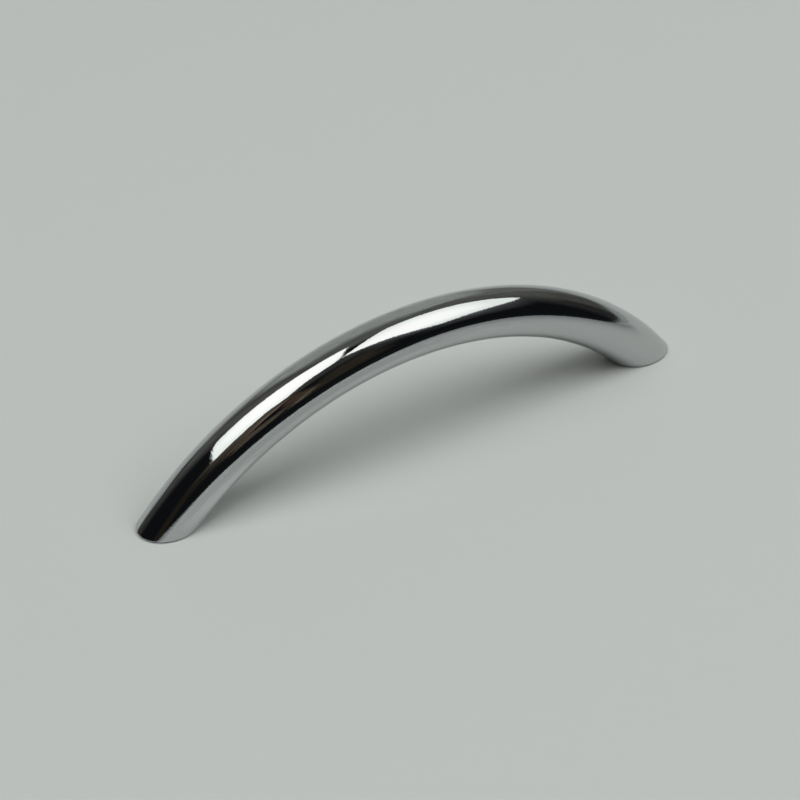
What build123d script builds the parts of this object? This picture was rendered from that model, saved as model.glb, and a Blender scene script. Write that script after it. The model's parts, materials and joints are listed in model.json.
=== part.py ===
from build123d import *
import math
import os

# Bow handle for a cabinet door or a drawer front.
#
# One solid piece: a full round bar whose centre line is one circular arc. Both ends are
# cut flat in the same plane and each stands on the door as an elliptical foot, with a
# blind tapped hole square to the foot.
#
# Millimetres. X runs from foot to foot, Y across the bar, Z away from the door.
# The origin is midway between the two holes, on the face that the feet stand on.

# Driving dimensions
HOLE_SPACING = 128.0       # between the two fixing holes
BAR_DIAMETER = 12.0        # round section, the same all along the bow
BOW_RISE = 30.0            # centre line of the bar above the feet, at the middle of the bow
FOOT_EDGE_RADIUS = 0.2     # edge of each foot, rounded over by the polishing
TAP_DRILL_DIAMETER = 3.3   # for an M4 thread, which is cut into this wall
DRILL_POINT_ANGLE = 118.0  # full angle of the cone that the drill leaves at the end
HOLE_ROOF = 1.7            # least metal between the end of the full bore and the polished skin
MOUTH_CHAMFER = 0.5        # 45 degree lead-in at the mouth of each hole

# The arc, worked out from its chord and its rise
half_span = HOLE_SPACING / 2
bar_radius = BAR_DIAMETER / 2
arc_radius = (half_span**2 + BOW_RISE**2) / (2 * BOW_RISE)
arc_centre_z = BOW_RISE - arc_radius
outer_radius = arc_radius + bar_radius

# The holes, whose depth follows the skin of the bar above them
hole_radius = TAP_DRILL_DIAMETER / 2
skin_over_hole = math.sqrt(outer_radius**2 - (half_span + hole_radius) ** 2) + arc_centre_z
hole_depth = skin_over_hole - HOLE_ROOF
drill_point = hole_radius / math.tan(math.radians(DRILL_POINT_ANGLE / 2))


def make_bar():
    """Return the round bar bent to its arc, cut off flat where it meets the door."""
    bend_axis = Axis((0, 0, arc_centre_z), (0, 1, 0))
    ring_bottom_z = arc_centre_z - arc_radius
    section = Plane.YZ * Pos(0, ring_bottom_z) * Circle(bar_radius)
    ring = revolve(section, bend_axis, 360)
    return split(ring, bisect_by=Plane.XY, keep=Keep.TOP)


def make_drill():
    """Return the body that a tapped hole takes out of a foot: mouth, bore and drill point."""
    mouth_radius = hole_radius + MOUTH_CHAMFER
    with BuildPart() as drill:
        with BuildSketch(Plane.XZ):
            with BuildLine():
                Polyline(
                    (0, 0),
                    (mouth_radius, 0),
                    (hole_radius, MOUTH_CHAMFER),
                    (hole_radius, hole_depth),
                    (0, hole_depth + drill_point),
                    close=True,
                )
            make_face()
        revolve(axis=Axis.Z)
    return drill.part


def make_bow():
    """Return the finished handle: the bar, its rounded foot edges and its two holes."""
    bar = make_bar()
    foot_edges = bar.faces().filter_by(Plane.XY).edges()
    bow = fillet(foot_edges, FOOT_EDGE_RADIUS)
    drill = make_drill()
    for side in (-1, 1):
        bow -= Pos(side * half_span, 0, 0) * drill
    return bow


os.makedirs("parts", exist_ok=True)

bow = make_bow()
bow.label = "bow"
export_step(bow, "parts/bow.step")
print(f"arc radius {arc_radius:.3f}, hole depth {hole_depth:.3f}, volume {bow.volume:.1f}")
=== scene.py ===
"""A polished bow handle on a pale floor: the skin of its casting, its finishes and its light."""
import json
import logging
import math
from dataclasses import dataclass
from enum import Enum
from typing import Callable, Sequence

import bpy
from mathutils import Matrix, Vector

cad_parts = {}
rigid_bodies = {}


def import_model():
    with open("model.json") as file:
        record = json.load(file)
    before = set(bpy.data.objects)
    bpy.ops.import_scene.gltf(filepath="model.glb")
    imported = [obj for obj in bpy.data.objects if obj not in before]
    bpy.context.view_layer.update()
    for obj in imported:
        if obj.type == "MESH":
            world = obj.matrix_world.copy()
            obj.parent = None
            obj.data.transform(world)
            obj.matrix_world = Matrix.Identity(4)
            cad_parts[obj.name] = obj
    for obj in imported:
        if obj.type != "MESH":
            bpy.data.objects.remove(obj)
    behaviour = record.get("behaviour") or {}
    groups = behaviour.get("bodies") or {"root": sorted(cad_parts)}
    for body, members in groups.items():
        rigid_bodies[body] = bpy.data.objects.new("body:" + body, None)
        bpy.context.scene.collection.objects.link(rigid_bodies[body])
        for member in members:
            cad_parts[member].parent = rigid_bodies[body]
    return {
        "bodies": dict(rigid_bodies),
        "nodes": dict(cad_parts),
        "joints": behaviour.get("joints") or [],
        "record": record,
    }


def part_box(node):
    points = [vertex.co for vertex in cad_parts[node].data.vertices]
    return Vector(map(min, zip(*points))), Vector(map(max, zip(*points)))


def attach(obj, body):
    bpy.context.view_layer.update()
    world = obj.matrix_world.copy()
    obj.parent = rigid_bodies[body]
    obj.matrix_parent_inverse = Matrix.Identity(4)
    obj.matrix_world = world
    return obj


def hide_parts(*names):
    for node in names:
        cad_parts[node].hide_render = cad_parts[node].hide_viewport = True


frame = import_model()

log = logging.getLogger("bow_handle")

MM = 0.001
OVAL_CORNERS = 48

Colour = tuple[float, float, float]
Spot = tuple[float, float]


class Finish(Enum):
    """The finishes on the one casting, each with the number that its faces carry."""

    CHROME = 0
    FOOT = 1
    BORE = 2


class Term:
    """A number in a node tree. Arithmetic on it adds Math nodes to that tree."""

    def __init__(self, tree: bpy.types.NodeTree, socket: bpy.types.NodeSocket) -> None:
        """Wrap one output socket.

        Args:
            tree: The node tree that the socket is in.
            socket: The socket that gives the number.
        """
        self.tree = tree
        self.socket = socket

    def math(self, operation: str, *values: "Term | float") -> "Term":
        """Add one Math node.

        Args:
            operation: The node's operation.
            values: What its inputs take, in order.

        Returns:
            The node's result.
        """
        node = self.tree.nodes.new("ShaderNodeMath")
        node.operation = operation
        for port, value in zip(node.inputs, values):
            connect(self.tree, value, port)
        return Term(self.tree, node.outputs[0])

    def __add__(self, other: "Term | float") -> "Term":
        """Return the sum."""
        return self.math("ADD", self, other)

    def __sub__(self, other: "Term | float") -> "Term":
        """Return the difference."""
        return self.math("SUBTRACT", self, other)

    def __rsub__(self, other: float) -> "Term":
        """Return the difference, with the plain number first."""
        return self.math("SUBTRACT", other, self)

    def __mul__(self, other: "Term | float") -> "Term":
        """Return the product."""
        return self.math("MULTIPLY", self, other)

    def __rmul__(self, other: float) -> "Term":
        """Return the product, with the plain number first."""
        return self.math("MULTIPLY", other, self)

    def __truediv__(self, other: "Term | float") -> "Term":
        """Return the quotient."""
        return self.math("DIVIDE", self, other)

    def __rtruediv__(self, other: float) -> "Term":
        """Return the quotient, with the plain number first."""
        return self.math("DIVIDE", other, self)

    def sin(self) -> "Term":
        """Return the sine."""
        return self.math("SINE", self)

    def cos(self) -> "Term":
        """Return the cosine."""
        return self.math("COSINE", self)

    def arcsin(self) -> "Term":
        """Return the angle whose sine this is."""
        return self.math("ARCSINE", self)

    def arccos(self) -> "Term":
        """Return the angle whose cosine this is."""
        return self.math("ARCCOSINE", self)

    def degrees(self) -> "Term":
        """Return the angle in degrees."""
        return self.math("DEGREES", self)

    def wrapped(self) -> "Term":
        """Return the angle in degrees, turned into the range from -180 to 180."""
        return self.math("WRAP", self, 180.0, -180.0)

    def arctan2(self, other: "Term") -> "Term":
        """Return the angle of the point whose height this is and whose reach is the other."""
        return self.math("ARCTAN2", self, other)

    def sqrt(self) -> "Term":
        """Return the square root."""
        return self.math("SQRT", self)

    def fract(self) -> "Term":
        """Return what is left past the last whole number."""
        return self.math("FRACT", self)

    def absolute(self) -> "Term":
        """Return the size without its sign."""
        return self.math("ABSOLUTE", self)

    def maximum(self, other: "Term | float") -> "Term":
        """Return the larger of the two."""
        return self.math("MAXIMUM", self, other)

    def clamp(self) -> "Term":
        """Return the number held between 0 and 1."""
        raised = self.maximum(0.0)
        return raised.math("MINIMUM", raised, 1.0)

    def smooth(self) -> "Term":
        """Return a share from 0 to 1 that starts and ends gently."""
        return self * self * (3.0 - 2.0 * self)

    def passes(self, limit: "Term | float", fade: float) -> "Term":
        """Return how far the number is past a limit.

        Args:
            limit: Where the share is a half.
            fade: The width over which it goes gently from 0 to 1. A negative one turns it round.

        Returns:
            The share, from 0 to 1.
        """
        node = self.tree.nodes.new("ShaderNodeMapRange")
        node.interpolation_type = "SMOOTHSTEP"
        connect(self.tree, self, node.inputs["Value"])
        connect(self.tree, limit - fade / 2, node.inputs["From Min"])
        connect(self.tree, limit + fade / 2, node.inputs["From Max"])
        return Term(self.tree, node.outputs[0])


Point = tuple[Term, Term, Term]
Place = Callable[[Term, Term], Point]


def connect(tree: bpy.types.NodeTree, value: object, port: bpy.types.NodeSocket) -> None:
    """Give an input its value, as a link or as a plain value.

    Args:
        tree: The tree that both are in.
        value: A Term, a socket or a plain value.
        port: The input that takes it.
    """
    if isinstance(value, Term):
        tree.links.new(value.socket, port)
    elif isinstance(value, bpy.types.NodeSocket):
        tree.links.new(value, port)
    else:
        port.default_value = value


def add_node(
    tree: bpy.types.NodeTree, kind: str, settings: dict[str, object] | None = None, **inputs: object
) -> bpy.types.Node:
    """Add a node, set its options and fill its inputs.

    Args:
        tree: The tree that it goes in.
        kind: The node's type name.
        settings: Options such as an operation or a domain.
        inputs: Input values by name, with underscores for spaces.

    Returns:
        The node.
    """
    node = tree.nodes.new(kind)
    for name, value in (settings or {}).items():
        setattr(node, name, value)
    for name, value in inputs.items():
        connect(tree, value, node.inputs[name.replace("_", " ")])
    return node


@dataclass
class BowSizes:
    """The handle's own sizes, in metres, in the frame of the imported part."""

    half_span: float
    bar_radius: float
    rise: float
    bore_radius: float
    bore_depth: float
    foot_edge_radius: float = 0.2 * MM
    mouth_chamfer: float = 0.5 * MM
    thread_root_radius: float = 2.0 * MM
    thread_pitch: float = 0.7 * MM
    drill_point_angle: float = math.radians(118.0)

    @classmethod
    def from_frame(cls, packed: dict) -> "BowSizes":
        """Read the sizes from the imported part.

        Args:
            packed: What the frame's load gave.

        Returns:
            The sizes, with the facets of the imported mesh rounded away.
        """
        low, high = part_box("bow")
        mounts = {mount["name"]: mount for mount in packed["record"]["mounts"]}
        hole = mounts["right_screw_hole"]
        bar_radius = round(high.y - low.y, 4) / 2
        return cls(
            half_span=hole["pos_m"][0],
            bar_radius=bar_radius,
            rise=round(high.z, 4) - bar_radius,
            bore_radius=hole["dims"]["r_mm"] * MM,
            bore_depth=hole["dims"]["length_mm"] * MM + cls.mouth_chamfer,
        )

    @property
    def arc_radius(self) -> float:
        """Return the radius of the bar's centre line."""
        return (self.half_span**2 + self.rise**2) / (2 * self.rise)

    @property
    def arc_centre_z(self) -> float:
        """Return the height of the arc's centre, which lies below the feet."""
        return self.rise - self.arc_radius

    @property
    def drill_point(self) -> float:
        """Return the length of the cone that the drill leaves."""
        return self.bore_radius / math.tan(self.drill_point_angle / 2)


@dataclass
class CastBow:
    """The one piece of the handle: bar, two feet and tapped holes, as one closed skin."""

    sizes: BowSizes
    name: str = "bow_casting"
    spokes: int = 120
    bar_rings: int = 288
    edge_rings: int = 12
    foot_rings: int = 8
    rings_per_pitch: int = 14
    point_rings: int = 4
    thread_flat_crest: float = 0.28
    thread_flank_end: float = 0.856
    thread_run_out: float = 0.5
    crease_angle: float = math.radians(28.0)
    weld_distance: float = 1e-6

    def build(self, finishes: dict[Finish, bpy.types.Material]) -> bpy.types.Object:
        """Make the piece with its node tree and turn the result into a plain mesh.

        Args:
            finishes: The material of each finish.

        Returns:
            The finished piece, at the origin.
        """
        tree, ports = self._tree(finishes)
        carrier = bpy.data.objects.new("bow_carrier", bpy.data.meshes.new("bow_carrier"))
        bpy.context.scene.collection.objects.link(carrier)
        modifier = carrier.modifiers.new("bow", "NODES")
        modifier.node_group = tree
        for name, value in self._inputs().items():
            modifier[ports[name]] = value
        graph = bpy.context.evaluated_depsgraph_get()
        mesh = bpy.data.meshes.new_from_object(carrier.evaluated_get(graph), depsgraph=graph)
        carrier.modifiers.remove(modifier)
        bpy.data.objects.remove(carrier)
        mesh.name = self.name
        piece = bpy.data.objects.new(self.name, mesh)
        bpy.context.scene.collection.objects.link(piece)
        return piece

    def _inputs(self) -> dict[str, float | int]:
        """Gather what the node tree is given.

        Returns:
            The value of each named input.
        """
        sizes = self.sizes
        return {
            "Arc Radius": sizes.arc_radius,
            "Arc Centre Z": sizes.arc_centre_z,
            "Bar Radius": sizes.bar_radius,
            "Foot Edge Radius": sizes.foot_edge_radius,
            "Half Span": sizes.half_span,
            "Mouth Radius": sizes.bore_radius + sizes.mouth_chamfer,
            "Bore Radius": sizes.bore_radius,
            "Bore Depth": sizes.bore_depth,
            "Drill Point": sizes.drill_point,
            "Thread Root Radius": sizes.thread_root_radius,
            "Thread Pitch": sizes.thread_pitch,
            "Spokes": self.spokes,
            "Bar Rings": self.bar_rings,
        }

    def _tree(
        self, finishes: dict[Finish, bpy.types.Material]
    ) -> tuple[bpy.types.NodeTree, dict[str, str]]:
        """Build the node tree that makes the whole skin from its sizes.

        Args:
            finishes: The material of each finish.

        Returns:
            The tree, and the identifier of each named input.
        """
        tree = bpy.data.node_groups.new("Bow casting", "GeometryNodeTree")
        ports: dict[str, str] = {}
        for name, value in self._inputs().items():
            kind = "NodeSocketInt" if isinstance(value, int) else "NodeSocketFloat"
            item = tree.interface.new_socket(name=name, in_out="INPUT", socket_type=kind)
            ports[name] = item.identifier
        tree.interface.new_socket(
            name="Geometry", in_out="OUTPUT", socket_type="NodeSocketGeometry"
        )
        entry = tree.nodes.new("NodeGroupInput")
        given = {name: Term(tree, entry.outputs[name]) for name in ports}
        patches = [self._bar_skin(tree, given)]
        for side in (1.0, -1.0):
            patches += self._foot_patches(tree, given, side)
        join = tree.nodes.new("GeometryNodeJoinGeometry")
        for patch in patches:
            tree.links.new(patch, join.inputs[0])
        weld = add_node(
            tree,
            "GeometryNodeMergeByDistance",
            Geometry=join.outputs[0],
            Distance=self.weld_distance,
        )
        dressed = self._finish(tree, weld.outputs[0], finishes)
        exit_node = tree.nodes.new("NodeGroupOutput")
        tree.links.new(dressed, exit_node.inputs[0])
        return tree, ports

    def _patch(
        self,
        tree: bpy.types.NodeTree,
        rings: Term | int,
        spokes: Term,
        place: Place,
        finish: Finish,
    ) -> bpy.types.NodeSocket:
        """Make one patch of rings and spokes.

        Args:
            tree: The node tree.
            rings: The number of bands along the patch.
            spokes: The number of faces round it.
            place: Gives the point for a share along the patch and an angle round it.
            finish: The finish that its faces carry.

        Returns:
            The patch's geometry.
        """
        grid = add_node(tree, "GeometryNodeMeshGrid", Size_X=1.0, Size_Y=1.0)
        connect(tree, rings + 1, grid.inputs["Vertices X"])
        connect(tree, spokes + 1, grid.inputs["Vertices Y"])
        where = tree.nodes.new("GeometryNodeInputPosition")
        parts = add_node(tree, "ShaderNodeSeparateXYZ", Vector=where.outputs[0])
        along = Term(tree, parts.outputs["X"]) + 0.5
        angle = (Term(tree, parts.outputs["Y"]) + 0.5) * math.tau
        x, y, z = place(along, angle)
        point = add_node(tree, "ShaderNodeCombineXYZ", X=x, Y=y, Z=z)
        moved = add_node(
            tree,
            "GeometryNodeSetPosition",
            Geometry=grid.outputs["Mesh"],
            Position=point.outputs[0],
        )
        marked = add_node(
            tree,
            "GeometryNodeStoreNamedAttribute",
            {"data_type": "INT", "domain": "FACE"},
            Geometry=moved.outputs[0],
            Name="finish",
            Value=finish.value,
        )
        return marked.outputs[0]

    def _ball(self, given: dict[str, Term], angle: Term) -> tuple[Term, Term, Term]:
        """Find where a ball that rounds the foot's edge rests.

        The ball touches the skin from inside and the foot's plane from above, so its centre is on a
        bar thinner by its radius, at that radius above the plane.

        Args:
            given: The tree's inputs.
            angle: Where round the bar's section it touches the skin.

        Returns:
            The angle along the arc, the x and the y of the ball's centre.
        """
        ball = given["Foot Edge Radius"]
        inner = given["Bar Radius"] - ball
        reach = given["Arc Radius"] + inner * angle.sin()
        arc = ((ball - given["Arc Centre Z"]) / reach).arccos()
        return arc, reach * arc.sin(), inner * angle.cos()

    def _bar_skin(self, tree: bpy.types.NodeTree, given: dict[str, Term]) -> bpy.types.NodeSocket:
        """Make the polished skin of the bar, from one foot's edge to the other's.

        Args:
            tree: The node tree.
            given: The tree's inputs.

        Returns:
            The skin's geometry.
        """

        def place(along: Term, angle: Term) -> Point:
            """Place a point of the round bar, swept along its arc.

            Args:
                along: The share of the way from the left foot to the right one.
                angle: The angle round the section.

            Returns:
                The point.
            """
            arc_end, _, _ = self._ball(given, angle)
            arc = arc_end * (2.0 * along - 1.0)
            reach = given["Arc Radius"] + given["Bar Radius"] * angle.sin()
            height = reach * arc.cos() + given["Arc Centre Z"]
            return reach * arc.sin(), given["Bar Radius"] * angle.cos(), height

        return self._patch(tree, given["Bar Rings"], given["Spokes"], place, Finish.CHROME)

    def _foot_patches(
        self, tree: bpy.types.NodeTree, given: dict[str, Term], side: float
    ) -> list[bpy.types.NodeSocket]:
        """Return the patches of one foot, from its rounded edge to the end of its hole.

        Args:
            tree: The node tree.
            given: The tree's inputs.
            side: 1 for the right foot and -1 for the left.

        Returns:
            The patches, facing outwards.
        """
        ball = given["Foot Edge Radius"]
        mouth = given["Mouth Radius"]
        bore = given["Bore Radius"]
        depth = given["Bore Depth"]
        pitch = given["Thread Pitch"]
        flank_share = self.thread_flank_end - self.thread_flat_crest

        def edge(along: Term, angle: Term) -> Point:
            """Place a point of the rounded edge.

            Args:
                along: The share of the turn from the skin's normal to straight down.
                angle: The angle round the section.

            Returns:
                The point.
            """
            arc, x, y = self._ball(given, angle)
            normal = (angle.sin() * arc.sin(), angle.cos(), angle.sin() * arc.cos())
            turn = (-1.0 * normal[2]).arccos()
            from_skin = ((1.0 - along) * turn).sin() / turn.sin()
            to_floor = (along * turn).sin() / turn.sin()
            px = x + ball * from_skin * normal[0]
            py = y + ball * from_skin * normal[1]
            pz = ball + ball * (from_skin * normal[2] - to_floor)
            return side * px, py, pz

        def foot(along: Term, angle: Term) -> Point:
            """Place a point of the flat foot.

            Args:
                along: The share of the way from the foot's outline to the mouth of the hole.
                angle: The angle round both.

            Returns:
                The point.
            """
            _, x, y = self._ball(given, angle)
            share = along.smooth()
            px = x + (given["Half Span"] + mouth * angle.sin() - x) * share
            py = y + (mouth * angle.cos() - y) * share
            return side * px, py, 0.0 * along

        def around(radius: Term, angle: Term, height: Term) -> Point:
            """Return a point of the hole's wall at a radius and a height."""
            across = given["Half Span"] + radius * angle.sin()
            return side * across, radius * angle.cos(), height

        def thread(along: Term, angle: Term) -> Point:
            """Place a point of the tapped wall: a right-hand thread under a 45 degree mouth.

            Args:
                along: The share of the way from the foot to the end of the bore.
                angle: The angle round the hole.

            Returns:
                The point.
            """
            height = depth * along
            phase = (height / pitch + angle * (side / math.tau)).fract()
            ridge = 1.0 - (2.0 * phase - 1.0).absolute()
            flank = ((ridge - self.thread_flat_crest) / flank_share).clamp()
            run_out = ((depth - pitch - height) / (pitch * self.thread_run_out)).clamp()
            wall = bore + (given["Thread Root Radius"] - bore) * flank * run_out
            return around(wall.maximum(mouth - height), angle, height)

        def point(along: Term, angle: Term) -> Point:
            """Return a point of the cone at the end of the hole."""
            return around(bore * (1.0 - along), angle, depth + given["Drill Point"] * along)

        sizes = self.sizes
        thread_rings = round(sizes.bore_depth / sizes.thread_pitch * self.rings_per_pitch)
        rows = (
            (self.edge_rings, edge, Finish.CHROME),
            (self.foot_rings, foot, Finish.FOOT),
            (thread_rings, thread, Finish.BORE),
            (self.point_rings, point, Finish.BORE),
        )
        spokes = given["Spokes"]
        patches = [self._patch(tree, rings, spokes, place, finish) for rings, place, finish in rows]
        if side > 0:
            return patches
        return [add_node(tree, "GeometryNodeFlipFaces", Mesh=patch).outputs[0] for patch in patches]

    def _finish(
        self,
        tree: bpy.types.NodeTree,
        skin: bpy.types.NodeSocket,
        finishes: dict[Finish, bpy.types.Material],
    ) -> bpy.types.NodeSocket:
        """Smooth the skin, crease its real edges and give each face its material.

        Args:
            tree: The node tree.
            skin: The welded skin.
            finishes: The material of each finish.

        Returns:
            The dressed skin.
        """
        smooth = add_node(tree, "GeometryNodeSetShadeSmooth", {"domain": "FACE"}, Geometry=skin)
        turn = tree.nodes.new("GeometryNodeInputMeshEdgeAngle")
        crease = add_node(
            tree, "FunctionNodeCompare", {"data_type": "FLOAT", "operation": "GREATER_THAN"}
        )
        connect(tree, turn.outputs["Unsigned Angle"], crease.inputs[0])
        connect(tree, self.crease_angle, crease.inputs[1])
        creased = add_node(
            tree,
            "GeometryNodeSetShadeSmooth",
            {"domain": "EDGE"},
            Geometry=smooth.outputs[0],
            Selection=crease.outputs[0],
            Shade_Smooth=False,
        )
        real = add_node(tree, "GeometryNodeRealizeInstances", Geometry=creased.outputs[0])
        label = add_node(
            tree, "GeometryNodeInputNamedAttribute", {"data_type": "INT"}, Name="finish"
        )
        dressed = real.outputs[0]
        for finish in Finish:
            match = add_node(
                tree, "FunctionNodeCompare", {"data_type": "INT", "operation": "EQUAL"}
            )
            connect(tree, label.outputs[0], match.inputs[2])
            connect(tree, finish.value, match.inputs[3])
            paint = add_node(
                tree,
                "GeometryNodeSetMaterial",
                Geometry=dressed,
                Selection=match.outputs[0],
                Material=finishes[finish],
            )
            dressed = paint.outputs[0]
        return dressed


def mix_colours(
    tree: bpy.types.NodeTree, share: Term, first: object, second: object
) -> bpy.types.NodeSocket:
    """Mix two colours.

    Args:
        tree: The shader tree.
        share: How much of the second colour there is.
        first: A colour socket, or red, green and blue.
        second: A colour socket, or red, green and blue.

    Returns:
        The mixed colour.
    """
    mix = add_node(tree, "ShaderNodeMix", {"data_type": "RGBA"})
    connect(tree, share, mix.inputs[0])
    for port, colour in ((mix.inputs[6], first), (mix.inputs[7], second)):
        connect(tree, (*colour, 1.0) if isinstance(colour, tuple) else colour, port)
    return mix.outputs[2]


def shader_group(
    name: str, inputs: Sequence[tuple[str, str, object]], outputs: Sequence[tuple[str, str]]
) -> tuple[bpy.types.NodeTree, bpy.types.Node, bpy.types.Node]:
    """Start a shader node group.

    Args:
        name: The group's name.
        inputs: Name, socket type and default of each input.
        outputs: Name and socket type of each output.

    Returns:
        The tree, its input node and its output node.
    """
    tree = bpy.data.node_groups.new(name, "ShaderNodeTree")
    for label, kind, default in inputs:
        item = tree.interface.new_socket(name=label, in_out="INPUT", socket_type=kind)
        if default is not None:
            item.default_value = default
    for label, kind in outputs:
        tree.interface.new_socket(name=label, in_out="OUTPUT", socket_type=kind)
    return tree, tree.nodes.new("NodeGroupInput"), tree.nodes.new("NodeGroupOutput")


@dataclass
class SurfaceEffects:
    """The shader node groups that the finishes share."""

    sizes: BowSizes
    line_detail: float = 3.0
    line_grain: float = 0.6
    deep_line_from: float = 0.62
    deep_line_gain: float = 8.0
    cloud_detail: float = 2.0
    cloud_grain: float = 0.5
    haze_from: float = 0.35
    haze_gain: float = 3.0

    def __post_init__(self) -> None:
        """Build each group once."""
        self.straightened = self._straightened()
        self.drawn_lines = self._drawn_lines()
        self.cloud = self._cloud()

    def _straightened(self) -> bpy.types.NodeTree:
        """Build the group that unbends the bow.

        Returns:
            The group. It gives the place on a straight bar: X along, Y across and Z outwards.
        """
        tree, _, out = shader_group("Straightened bar", [], [("Place", "NodeSocketVector")])
        where = tree.nodes.new("ShaderNodeTexCoord")
        parts = add_node(tree, "ShaderNodeSeparateXYZ", Vector=where.outputs["Object"])
        x = Term(tree, parts.outputs["X"])
        z = Term(tree, parts.outputs["Z"]) - self.sizes.arc_centre_z
        length = x.arctan2(z) * self.sizes.arc_radius
        outwards = (x * x + z * z).sqrt() - self.sizes.arc_radius
        place = add_node(tree, "ShaderNodeCombineXYZ", X=length, Y=parts.outputs["Y"], Z=outwards)
        tree.links.new(place.outputs[0], out.inputs[0])
        return tree

    def _drawn_lines(self) -> bpy.types.NodeTree:
        """Build the group for fine lines that run along X.

        Returns:
            The group. It gives a height, and a mask of the deepest lines.
        """
        tree, given, out = shader_group(
            "Drawn lines",
            [
                ("Place", "NodeSocketVector", None),
                ("Spacing", "NodeSocketFloat", 0.4 * MM),
                ("Length", "NodeSocketFloat", 20 * MM),
            ],
            [("Height", "NodeSocketFloat"), ("Deep", "NodeSocketFloat")],
        )
        spacing = Term(tree, given.outputs["Spacing"])
        length = Term(tree, given.outputs["Length"])
        per_spacing = 1.0 / spacing
        per_length = 1.0 / length
        scale = add_node(tree, "ShaderNodeCombineXYZ", X=per_length, Y=per_spacing, Z=per_spacing)
        stretched = add_node(tree, "ShaderNodeVectorMath", {"operation": "MULTIPLY"})
        connect(tree, given.outputs["Place"], stretched.inputs[0])
        connect(tree, scale.outputs[0], stretched.inputs[1])
        noise = add_node(
            tree,
            "ShaderNodeTexNoise",
            Vector=stretched.outputs[0],
            Scale=1.0,
            Detail=self.line_detail,
            Roughness=self.line_grain,
        )
        height = Term(tree, noise.outputs[0])
        deep = ((height - self.deep_line_from) * self.deep_line_gain).clamp()
        tree.links.new(height.socket, out.inputs["Height"])
        tree.links.new(deep.socket, out.inputs["Deep"])
        return tree

    def _cloud(self) -> bpy.types.NodeTree:
        """Build the group for soft unevenness.

        Returns:
            The group. It gives a height, and how much haze lies there.
        """
        tree, given, out = shader_group(
            "Soft unevenness",
            [("Place", "NodeSocketVector", None), ("Patch Size", "NodeSocketFloat", 9 * MM)],
            [("Height", "NodeSocketFloat"), ("Haze", "NodeSocketFloat")],
        )
        size = Term(tree, given.outputs["Patch Size"])
        noise = add_node(
            tree,
            "ShaderNodeTexNoise",
            Vector=given.outputs["Place"],
            Scale=1.0 / size,
            Detail=self.cloud_detail,
            Roughness=self.cloud_grain,
        )
        height = Term(tree, noise.outputs[0])
        haze = ((height - self.haze_from) * self.haze_gain).clamp()
        tree.links.new(height.socket, out.inputs["Height"])
        tree.links.new(haze.socket, out.inputs["Haze"])
        return tree


def use_group(
    tree: bpy.types.NodeTree, group: bpy.types.NodeTree, **inputs: object
) -> bpy.types.Node:
    """Place a shared group in a material.

    Args:
        tree: The material's node tree.
        group: The shared group.
        inputs: Input values by name, with underscores for spaces.

    Returns:
        The group node.
    """
    node = tree.nodes.new("ShaderNodeGroup")
    node.node_tree = group
    for name, value in inputs.items():
        connect(tree, value, node.inputs[name.replace("_", " ")])
    return node


def new_material(name: str) -> tuple[bpy.types.Material, bpy.types.NodeTree, bpy.types.Node]:
    """Start a material.

    Args:
        name: The finish's plain name.

    Returns:
        The material, its node tree and its Principled BSDF.
    """
    material = bpy.data.materials.new(name)
    material.use_nodes = True
    tree = material.node_tree
    tree.nodes.clear()
    surface = tree.nodes.new("ShaderNodeBsdfPrincipled")
    output = tree.nodes.new("ShaderNodeOutputMaterial")
    tree.links.new(surface.outputs[0], output.inputs["Surface"])
    return material, tree, surface


@dataclass(frozen=True)
class PolishedChrome:
    """Bright chrome over a buffed casting: a mirror with a faint peel and lines along the bar. The
    deepest lines darken the base colour: partly a tone along the polishing lines, partly painted
    reflection streaks.
    """

    colour: Colour = (0.530, 0.542, 0.545)
    roughness: float = 0.02
    haze_roughness: float = 0.03
    # Colour and share on the deepest lines: partly their own tone, partly painted reflection streaks.
    line_tone_and_reflection_colour: Colour = (0.47, 0.485, 0.49)
    line_tone_and_reflection_share: float = 0.6
    wave_height: float = 0.010 * MM
    wave_size: float = 9.0 * MM
    peel_height: float = 0.0055 * MM
    peel_size: float = 0.45 * MM
    line_height: float = 0.0015 * MM
    line_spacing: float = 0.35 * MM
    line_length: float = 20.0 * MM

    def make(self, effects: SurfaceEffects) -> bpy.types.Material:
        """Build the material.

        Args:
            effects: The shared node groups.

        Returns:
            The material.
        """
        material, tree, surface = new_material("polished_chrome")
        surface.inputs["Metallic"].default_value = 1.0
        place = use_group(tree, effects.straightened).outputs[0]
        wave = use_group(tree, effects.cloud, Place=place, Patch_Size=self.wave_size)
        peel = use_group(tree, effects.cloud, Place=place, Patch_Size=self.peel_size)
        lines = use_group(
            tree,
            effects.drawn_lines,
            Place=place,
            Spacing=self.line_spacing,
            Length=self.line_length,
        )
        # Painted reflection streaks, with the lines' own tone: the deepest lines darken the base
        # colour.
        line_tone_and_reflection = Term(tree, lines.outputs["Deep"]) * self.line_tone_and_reflection_share
        shade = mix_colours(tree, line_tone_and_reflection, self.colour, self.line_tone_and_reflection_colour)
        tree.links.new(shade, surface.inputs["Base Color"])
        rough = Term(tree, wave.outputs["Haze"]) * self.haze_roughness + self.roughness
        tree.links.new(rough.socket, surface.inputs["Roughness"])
        height = (
            Term(tree, wave.outputs["Height"]) * self.wave_height
            + Term(tree, peel.outputs["Height"]) * self.peel_height
            + Term(tree, lines.outputs["Height"]) * self.line_height
        )
        bump = add_node(tree, "ShaderNodeBump", Strength=1.0, Distance=1.0, Height=height)
        tree.links.new(bump.outputs[0], surface.inputs["Normal"])
        return material


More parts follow.
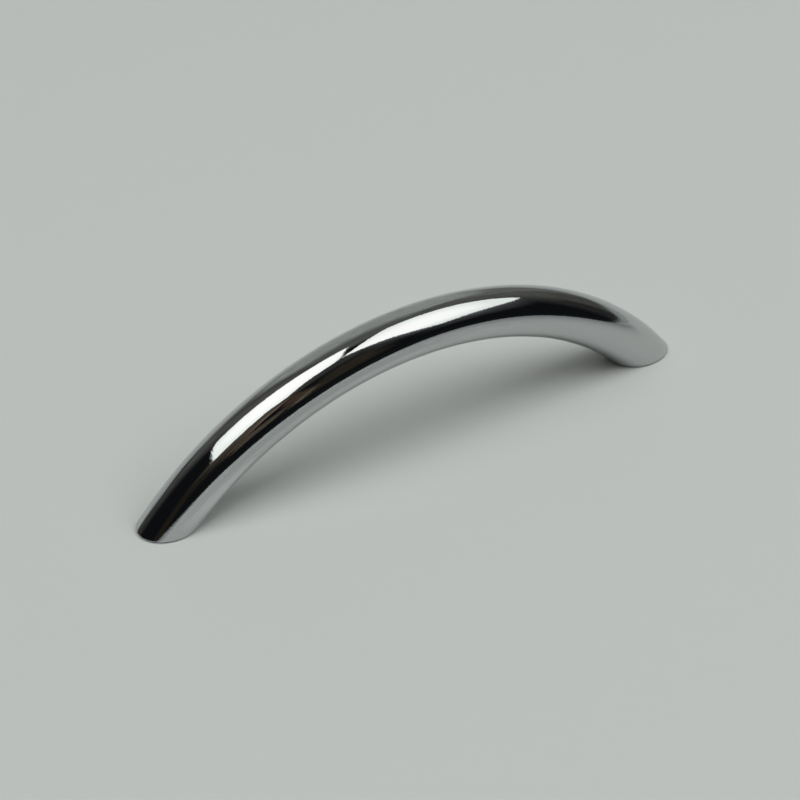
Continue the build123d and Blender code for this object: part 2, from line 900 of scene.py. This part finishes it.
@dataclass(frozen=True)
class GroundFoot:
    """The flat face of a foot: plated like the bar, over the straight lines of a grinding belt."""

    colour: Colour = (0.50, 0.505, 0.50)
    roughness: float = 0.24
    line_roughness: float = 0.16
    line_height: float = 0.004 * MM
    line_spacing: float = 0.12 * MM
    line_length: float = 6.0 * MM

    def make(self, effects: SurfaceEffects) -> bpy.types.Material:
        """Build the material.

        Args:
            effects: The shared node groups.

        Returns:
            The material.
        """
        material, tree, surface = new_material("ground_foot")
        surface.inputs["Metallic"].default_value = 1.0
        surface.inputs["Base Color"].default_value = (*self.colour, 1.0)
        where = tree.nodes.new("ShaderNodeTexCoord").outputs["Object"]
        lines = use_group(
            tree,
            effects.drawn_lines,
            Place=where,
            Spacing=self.line_spacing,
            Length=self.line_length,
        )
        rough = Term(tree, lines.outputs["Deep"]) * self.line_roughness + self.roughness
        tree.links.new(rough.socket, surface.inputs["Roughness"])
        height = Term(tree, lines.outputs["Height"]) * self.line_height
        bump = add_node(tree, "ShaderNodeBump", Strength=1.0, Distance=1.0, Height=height)
        tree.links.new(bump.outputs[0], surface.inputs["Normal"])
        return material


@dataclass(frozen=True)
class CutBore:
    """The drilled and tapped wall of a hole: bare grey casting metal, turned by the tap."""

    colour: Colour = (0.42, 0.43, 0.44)
    dull_colour: Colour = (0.26, 0.265, 0.27)
    roughness: float = 0.34
    haze_roughness: float = 0.2
    patch_size: float = 0.8 * MM

    def make(self, effects: SurfaceEffects) -> bpy.types.Material:
        """Build the material.

        Args:
            effects: The shared node groups.

        Returns:
            The material.
        """
        material, tree, surface = new_material("cut_bore")
        surface.inputs["Metallic"].default_value = 1.0
        where = tree.nodes.new("ShaderNodeTexCoord").outputs["Object"]
        cloud = use_group(tree, effects.cloud, Place=where, Patch_Size=self.patch_size)
        haze = Term(tree, cloud.outputs["Haze"])
        rough = haze * self.haze_roughness + self.roughness
        tree.links.new(rough.socket, surface.inputs["Roughness"])
        dulled = mix_colours(tree, haze, self.colour, self.dull_colour)
        tree.links.new(dulled, surface.inputs["Base Color"])
        return material


@dataclass(frozen=True)
class Viewpoint:
    """The camera, given by where it looks and how far round and up it stands."""

    target: tuple[float, float, float] = (-2.96 * MM, 0.80 * MM, 10.67 * MM)
    azimuth: float = math.radians(-33.1)
    elevation: float = math.radians(38.1)
    roll: float = math.radians(1.92)
    distance: float = 761.4 * MM
    lens: float = 150.0
    nearest: float = 10 * MM
    furthest: float = 100.0

    def build(self) -> bpy.types.Object:
        """Make the scene's camera.

        Returns:
            The camera, in place.
        """
        across, height = math.cos(self.elevation), math.sin(self.elevation)
        back = Vector((math.sin(self.azimuth) * across, -math.cos(self.azimuth) * across, height))
        level = Vector((0.0, 0.0, 1.0)).cross(back).normalized()
        upright = back.cross(level)
        right = level * math.cos(self.roll) + upright * math.sin(self.roll)
        up = back.cross(right)
        turn = Matrix((right, up, back)).transposed().to_4x4()
        data = bpy.data.cameras.new("camera")
        data.lens = self.lens
        data.clip_start = self.nearest
        data.clip_end = self.furthest
        camera = bpy.data.objects.new("camera", data)
        bpy.context.scene.collection.objects.link(camera)
        camera.matrix_world = Matrix.Translation(Vector(self.target) + back * self.distance) @ turn
        bpy.context.scene.camera = camera
        return camera


@dataclass(frozen=True)
class Card:
    """A flat glowing card in the studio, which the camera doesn't see."""

    name: str
    corners: tuple[tuple[float, float, float], ...]
    radiance: Colour
    rim_radiance: Colour | None = None
    middle: Spot = (0.0, 0.0)
    reach: Spot = (1.0, 1.0)
    fades_out: bool = False
    lights_floor: bool = False

    @classmethod
    def oval(cls, name: str, middle: Spot, reach: Spot, radiance: Colour, depth: float) -> "Card":
        """Plan an oval card that lies on the floor and fades out to its rim.

        Args:
            name: The card's name.
            middle: Its middle along X and along Y.
            reach: Half its length along X and along Y.
            radiance: The glow at its middle.
            depth: How far it lies below the plane of the feet, so that it clears other cards.

        Returns:
            The card.
        """
        turns = [math.tau * corner / OVAL_CORNERS for corner in range(OVAL_CORNERS)]
        corners = tuple(
            (middle[0] + reach[0] * math.cos(turn), middle[1] + reach[1] * math.sin(turn), -depth)
            for turn in turns
        )
        return cls(name, corners, radiance, middle=middle, reach=reach, fades_out=True)

    def build(self) -> bpy.types.Object:
        """Make the card. It either lights the matt floor or shows in the metal.

        Returns:
            The card, in place.
        """
        mesh = bpy.data.meshes.new(self.name)
        mesh.from_pydata([Vector(c) for c in self.corners], [], [list(range(len(self.corners)))])
        mesh.materials.append(self._glow())
        card = bpy.data.objects.new(self.name, mesh)
        bpy.context.scene.collection.objects.link(card)
        card.visible_camera = False
        card.visible_shadow = False
        card.visible_diffuse = self.lights_floor
        card.visible_glossy = not self.lights_floor
        return card

    def _glow(self) -> bpy.types.Material:
        """Make the card's glow. It turns to the rim's colour, or fades out, within its reach.

        Returns:
            The material.
        """
        material = bpy.data.materials.new(self.name)
        material.use_nodes = True
        tree = material.node_tree
        tree.nodes.clear()
        where = tree.nodes.new("ShaderNodeTexCoord").outputs["Object"]
        parts = add_node(tree, "ShaderNodeSeparateXYZ", Vector=where)
        x = (Term(tree, parts.outputs["X"]) - self.middle[0]) / self.reach[0]
        y = (Term(tree, parts.outputs["Y"]) - self.middle[1]) / self.reach[1]
        share = (x * x + y * y).clamp().smooth()
        colour = mix_colours(tree, share, self.radiance, self.rim_radiance or self.radiance)
        glow = add_node(tree, "ShaderNodeEmission", Color=colour, Strength=1.0)
        output = tree.nodes.new("ShaderNodeOutputMaterial")
        if self.fades_out:
            clear = tree.nodes.new("ShaderNodeBsdfTransparent")
            blend = tree.nodes.new("ShaderNodeMixShader")
            connect(tree, share, blend.inputs[0])
            connect(tree, glow.outputs[0], blend.inputs[1])
            connect(tree, clear.outputs[0], blend.inputs[2])
            glow = blend
        tree.links.new(glow.outputs[0], output.inputs["Surface"])
        return material


@dataclass(frozen=True)
class SoftBox:
    """A soft box overhead: the face that the metal shows, and the lamp that lights the floor.

    Both have one outline as seen from the handle. The lamp is the further and larger one, so it
    lights the floor more evenly.
    """

    name: str
    outline: tuple[Spot, ...]
    middle: Spot
    reach: float
    height: float = 1.0
    face_radiance: Colour = (1.87, 1.83, 1.79)
    rim_radiance: Colour = (1.45, 1.53, 1.44)
    lamp_radiance: float = 2.995
    lamp_distance: float = 3.0

    def build(self) -> None:
        """Make the face and the lamp."""
        face = tuple((x, y, self.height) for x, y in self.outline)
        lamp = tuple(tuple(part * self.lamp_distance for part in corner) for corner in face)
        Card(
            f"{self.name}_face",
            face,
            self.face_radiance,
            rim_radiance=self.rim_radiance,
            middle=self.middle,
            reach=(self.reach, self.reach),
        ).build()
        Card(f"{self.name}_lamp", lamp, (self.lamp_radiance,) * 3, lights_floor=True).build()


@dataclass(frozen=True)
class RoomPart:
    """A stretch of the dim room, as the handle sees it.

    The bearing is in degrees round from +Y towards +X, and low and high are degrees above the
    floor. Both ends sink by the slope for each degree further round. Below the shoulder the part
    narrows on each side by the taper for each degree. A later part covers the earlier ones.
    """

    radiance: Colour
    bearing: float
    half_width: float
    low: float = -90.0
    high: float = 90.0
    side_fade: float = 10.0
    end_fade: float = 8.0
    slope: float = 0.0
    shoulder: float = 0.0
    taper: float = 0.0

    def amount(self, round_from_y: Term, rise: Term) -> Term:
        """Return how much of this part is seen in a direction.

        Args:
            round_from_y: How far the direction is round from +Y towards +X, in degrees.
            rise: How far it points up, in degrees.

        Returns:
            A share from 0, beside the part, to 1, well inside it.
        """
        aside = (round_from_y - self.bearing).wrapped()
        width: Term | float = self.half_width
        if self.taper:
            width = width - (self.shoulder - rise).maximum(0.0) * self.taper
        share = aside.absolute().passes(width, -self.side_fade)
        level = rise + aside * self.slope if self.slope else rise
        if self.low > -90.0:
            share = share * level.passes(self.low, self.end_fade)
        if self.high < 90.0:
            share = share * level.passes(self.high, -self.end_fade)
        return share


@dataclass(frozen=True)
class Studio:
    """The pale floor, the soft boxes over the handle and the dim room round it.

    The apron and the patches lie on the floor and show only in the metal: the dark end of the floor
    in front of the handle, and soft lights and shades nearer to it.
    """

    floor_colour: Colour = (0.497, 0.521, 0.503)
    floor_roughness: float = 0.9
    floor_specular: float = 0.2
    floor_half_side: float = 6.0
    floor_gap: float = 0.22 * MM
    dark: Colour = (0.0070, 0.0076, 0.0088)
    boxes: tuple[SoftBox, ...] = (
        SoftBox(
            "left_box",
            (
                (-0.845, 0.55),
                (-0.62, 0.505),
                (-0.30, 0.315),
                (-0.11, 0.19),
                (0.05, 0.14),
                (0.018, -0.10),
                (0.010, -0.25),
                (-0.020, -0.40),
                (-0.195, -0.478),
                (-0.31, -0.637),
                (-0.37, -0.622),
                (-0.45, -0.555),
                (-0.66, -0.61),
                (-0.97, -0.645),
                (-0.995, -0.59),
                (-0.905, 0.38),
            ),
            middle=(-0.36, 0.0),
            reach=0.66,
        ),
        SoftBox(
            "right_box",
            (
                (0.268, 0.114),
                (0.45, 0.125),
                (0.80, 0.13),
                (1.07, 0.095),
                (1.445, 0.02),
                (1.425, -0.12),
                (1.36, -0.31),
                (1.308, -0.49),
                (1.22, -0.76),
                (1.142, -1.09),
                (1.08, -1.38),
                (1.02, -1.49),
                (0.94, -1.46),
                (0.60, -1.06),
                (0.40, -0.785),
                (0.20, -0.55),
                (0.02, -0.34),
                (0.13, -0.10),
                (0.20, 0.025),
            ),
            middle=(0.45, -0.58),
            reach=0.75,
            face_radiance=(1.80, 1.77, 1.72),
            rim_radiance=(1.36, 1.42, 1.35),
        ),
    )
    apron_outline: tuple[Spot, ...] = (
        (-1.200, -6.0),
        (-0.140, -0.73),
        (-0.068, -0.30),
        (-0.050, -0.225),
        (-0.028, -0.165),
        (-0.015, -0.137),
        (0.002, -0.124),
        (0.038, -0.126),
        (0.070, -0.152),
        (0.108, -0.177),
        (0.140, -0.194),
        (0.172, -0.206),
        (0.187, -0.196),
        (0.191, -0.174),
        (0.200, -0.155),
        (0.216, -0.142),
        (0.246, -0.140),
        (0.310, -0.152),
        (0.510, -0.205),
        (1.0, -0.345),
        (6.0, -2.02),
        (6.0, -6.0),
    )
    apron_radiance: Colour = (0.010, 0.011, 0.013)
    floor_patches: tuple[Card, ...] = (
        Card.oval("foot_glow", (-0.049, -0.0135), (0.018, 0.009), (0.580, 0.600, 0.592), 0.02 * MM),
        Card.oval("near_shade", (-0.012, -0.048), (0.060, 0.030), (0.430, 0.447, 0.437), 0.04 * MM),
        Card.oval("right_shade", (0.36, -0.16), (0.50, 0.17), (0.260, 0.273, 0.267), 0.06 * MM),
        Card.oval("far_shade", (2.2, -0.75), (2.2, 0.92), (0.240, 0.252, 0.247), 0.10 * MM),
    )
    room: tuple[RoomPart, ...] = (
        RoomPart((0.118, 0.119, 0.108), 23.5, 68.5, side_fade=45),
        RoomPart((0.172, 0.175, 0.162), 47.5, 12, high=40, side_fade=8, end_fade=12),
        RoomPart((0.084, 0.082, 0.075), 75, 10, high=22, side_fade=8, end_fade=12),
        RoomPart((0.030, 0.029, 0.028), 97, 8, high=22, side_fade=10, end_fade=10),
        RoomPart((0.125, 0.125, 0.118), -44, 12, low=46, side_fade=14, end_fade=18),
        RoomPart((0.085, 0.084, 0.078), -18, 5, low=16, side_fade=8, end_fade=10),
        RoomPart((0.370, 0.394, 0.366), 19.5, 28.5, high=53, end_fade=24, shoulder=29, taper=0.6),
        RoomPart((0.062, 0.061, 0.056), -31, 12, high=18, side_fade=8, end_fade=6),
        RoomPart((0.042, 0.042, 0.038), -50, 8, high=15, side_fade=8, end_fade=6),
        RoomPart((0.300, 0.305, 0.298), -6.5, 11, high=16, end_fade=13),
        RoomPart((0.405, 0.440, 0.445), 24, 54, high=6.6, side_fade=7, end_fade=5.5, slope=0.05),
        RoomPart((0.510, 0.545, 0.545), 5, 17, high=4.5, side_fade=16, end_fade=9),
        RoomPart((0.335, 0.360, 0.364), 94.5, 17, high=2.5, side_fade=6, end_fade=3.6, slope=0.2),
        RoomPart((0.370, 0.395, 0.390), -150, 24, high=5.2, side_fade=8, end_fade=4, slope=-0.27),
        RoomPart((0.098, 0.084, 0.065), -139, 18, low=34.5, side_fade=12, end_fade=28),
        RoomPart((0.022, 0.018, 0.013), -130, 8, low=4, high=34, end_fade=14),
        RoomPart((0.033, 0.029, 0.020), 170, 9, low=12, high=44, end_fade=10),
        RoomPart((0.048, 0.047, 0.047), 182, 17, low=50, side_fade=14, end_fade=16),
        RoomPart((0.062, 0.058, 0.056), -166, 8, low=50, end_fade=10),
        RoomPart(
            (0.150, 0.128, 0.095), -180.5, 2.4, low=16.5, high=28, side_fade=3, end_fade=5, slope=-0.8
        ),
        RoomPart(
            (0.100, 0.083, 0.060), -167, 8.5, low=19.5, high=29.5, side_fade=4, end_fade=5, slope=-0.25
        ),
        RoomPart(
            (0.078, 0.052, 0.037), -173, 7, low=30, high=40, side_fade=4, end_fade=5, slope=-1.2
        ),
        RoomPart((0.095, 0.071, 0.050), -153.5, 4, low=27.5, high=41, side_fade=4, end_fade=4),
        RoomPart(
            (0.225, 0.172, 0.128), -158, 5, low=39.4, high=46.9, side_fade=4, end_fade=4, slope=0.7
        ),
        RoomPart((0.125, 0.108, 0.105), -149, 5, low=50.5, side_fade=4, end_fade=3),
        RoomPart(
            (0.430, 0.310, 0.225), -156.6, 3.4, low=54.8, high=62, side_fade=3, end_fade=4, slope=0.6
        ),
        RoomPart(
            (0.046, 0.048, 0.050), 140, 29, low=28, high=66, side_fade=14, shoulder=60, taper=0.4
        ),
        RoomPart((0.050, 0.052, 0.055), 124, 26, low=24, high=60, side_fade=12, slope=0.33),
        RoomPart(
            (0.100, 0.105, 0.110), 118, 32, low=31.3, high=60, side_fade=12, end_fade=4.5, slope=0.15
        ),
        RoomPart((0.170, 0.180, 0.185), 140, 21, low=28, high=68, shoulder=60, taper=0.4),
        RoomPart((0.100, 0.105, 0.105), 158, 12, low=60, high=72, side_fade=8, end_fade=6),
    )
    unevenness: float = 1.7
    unevenness_scale: float = 22.0
    unevenness_detail: float = 6.0
    unevenness_roughness: float = 0.65

    def build(self) -> None:
        """Make the floor, the room, the cards on the floor and the soft boxes."""
        self._floor()
        self._room()
        corners = tuple((x, y, 0.0) for x, y in self.apron_outline)
        Card("dark_apron", corners, self.apron_radiance).build()
        for item in (*self.floor_patches, *self.boxes):
            item.build()
        log.info("studio: floor, room and %d soft boxes in place", len(self.boxes))

    def _floor(self) -> None:
        """Make the plain matt floor just under the feet."""
        mesh = bpy.data.meshes.new("floor")
        half = self.floor_half_side
        corners = [(-half, -half, 0.0), (half, -half, 0.0), (half, half, 0.0), (-half, half, 0.0)]
        mesh.from_pydata([Vector(c) for c in corners], [], [(0, 1, 2, 3)])
        material, _, surface = new_material("pale_floor")
        surface.inputs["Base Color"].default_value = (*self.floor_colour, 1.0)
        surface.inputs["Roughness"].default_value = self.floor_roughness
        surface.inputs["Specular IOR Level"].default_value = self.floor_specular
        mesh.materials.append(material)
        floor = bpy.data.objects.new("floor", mesh)
        bpy.context.scene.collection.objects.link(floor)
        floor.location.z = -self.floor_gap

    def _room(self) -> None:
        """Make the world: pale where the camera sees it, and the dim room elsewhere."""
        world = bpy.data.worlds.new("room")
        bpy.context.scene.world = world
        world.use_nodes = True
        tree = world.node_tree
        tree.nodes.clear()
        direction = tree.nodes.new("ShaderNodeTexCoord").outputs["Generated"]
        parts = add_node(tree, "ShaderNodeSeparateXYZ", Vector=direction)
        x, y, z = (Term(tree, parts.outputs[axis]) for axis in "XYZ")
        round_from_y = x.arctan2(y).degrees()
        rise = z.arcsin().degrees()
        seen = self.dark
        for part in self.room:
            seen = mix_colours(tree, part.amount(round_from_y, rise), seen, part.radiance)
        noise = add_node(
            tree,
            "ShaderNodeTexNoise",
            Vector=direction,
            Scale=self.unevenness_scale,
            Detail=self.unevenness_detail,
            Roughness=self.unevenness_roughness,
        )
        level_here = (Term(tree, noise.outputs[0]) - 0.5) * self.unevenness + 1.0
        uneven = add_node(tree, "ShaderNodeVectorMath", {"operation": "SCALE"}, Scale=level_here)
        connect(tree, seen, uneven.inputs[0])
        seen = uneven.outputs[0]
        path = tree.nodes.new("ShaderNodeLightPath")
        is_camera = Term(tree, path.outputs["Is Camera Ray"])
        shown = mix_colours(tree, is_camera, seen, self.floor_colour)
        sky = add_node(tree, "ShaderNodeBackground", Color=shown, Strength=1.0)
        output = tree.nodes.new("ShaderNodeOutputWorld")
        tree.links.new(sky.outputs[0], output.inputs["Surface"])


def plain_view() -> None:
    """Show colours as they are written."""
    bpy.context.scene.view_settings.view_transform = "Standard"


def main() -> None:
    """Build the handle, its finishes, the studio and the camera, in that order."""
    logging.basicConfig(level=logging.INFO, format="%(name)s: %(message)s")
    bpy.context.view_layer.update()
    sizes = BowSizes.from_frame(frame)
    log.info("arc radius %.3f mm, bar radius %.3f mm", sizes.arc_radius / MM, sizes.bar_radius / MM)
    effects = SurfaceEffects(sizes)
    finishes = {
        Finish.CHROME: PolishedChrome().make(effects),
        Finish.FOOT: GroundFoot().make(effects),
        Finish.BORE: CutBore().make(effects),
    }
    casting = CastBow(sizes).build(finishes)
    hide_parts("bow")
    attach(casting, "root")
    log.info("%s: %d faces", casting.name, len(casting.data.polygons))
    Studio().build()
    Viewpoint().build()
    plain_view()


if __name__ == "__main__":
    main()
